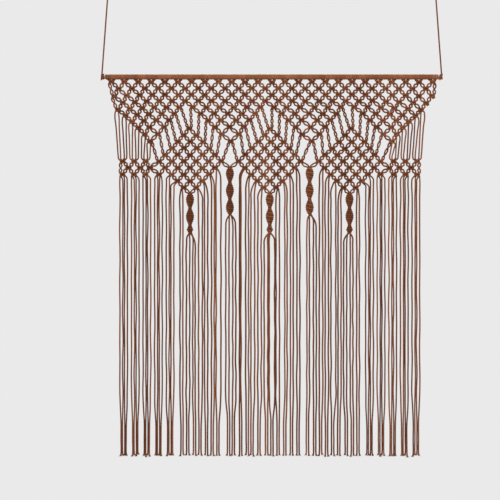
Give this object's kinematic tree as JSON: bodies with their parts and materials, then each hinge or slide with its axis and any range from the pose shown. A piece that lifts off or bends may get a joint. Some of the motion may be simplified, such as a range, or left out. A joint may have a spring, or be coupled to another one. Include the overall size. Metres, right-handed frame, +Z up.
{
  "type": "macrame wall hanging",
  "caption": "Open net of knotted brown cotton cords on a thin rod, with diamonds, twisted sinnets and a long straight fringe.",
  "frame": {"origin": "middle of the rod, on its axis, where the rod is held up by its two hanging cords", "axes": "+X along the rod to the right as seen from the front, +Y towards the wall, +Z up"},
  "size_m": [0.685, 0.014, 0.9522],
  "materials": {
    "cord": "matte brown three-ply cotton cord",
    "rod": "plain thin dowel, covered by the cords' turns"
  },
  "bodies": {
    "hanger": {"rod": "rod", "left_hitch": "cord", "left_hanging_cord": "cord", "left_loop": "cord", "right_hitch": "cord", "right_hanging_cord": "cord", "right_loop": "cord"},
    "net": {"cord_01": "cord", "cord_02": "cord", "cord_03": "cord", "cord_04": "cord", "cord_05": "cord", "cord_06": "cord", "cord_07": "cord", "cord_08": "cord", "cord_09": "cord", "cord_10": "cord", "cord_11": "cord", "cord_12": "cord", "cord_13": "cord", "cord_14": "cord", "cord_15": "cord", "cord_16": "cord", "cord_17": "cord", "cord_18": "cord", "cord_19": "cord", "cord_20": "cord", "cord_21": "cord", "cord_22": "cord", "cord_23": "cord", "cord_24": "cord", "cord_25": "cord", "cord_26": "cord", "cord_27": "cord", "cord_28": "cord", "cord_29": "cord", "cord_30": "cord", "cord_31": "cord", "cord_32": "cord", "cord_33": "cord", "cord_34": "cord", "cord_35": "cord", "cord_36": "cord", "cord_37": "cord", "cord_38": "cord", "cord_39": "cord", "cord_40": "cord", "cord_41": "cord", "cord_42": "cord", "cord_43": "cord", "cord_44": "cord", "cord_45": "cord", "cord_46": "cord", "cord_47": "cord", "cord_48": "cord", "cord_49": "cord", "cord_50": "cord"}
  },
  "joints": [
    {"name": "net_swing", "type": "hinge", "parent": "hanger", "child": "net", "pos_m": [0, 0, 0], "axis": [-1, 0, 0], "range_deg": [-3, 35]}
  ]
}
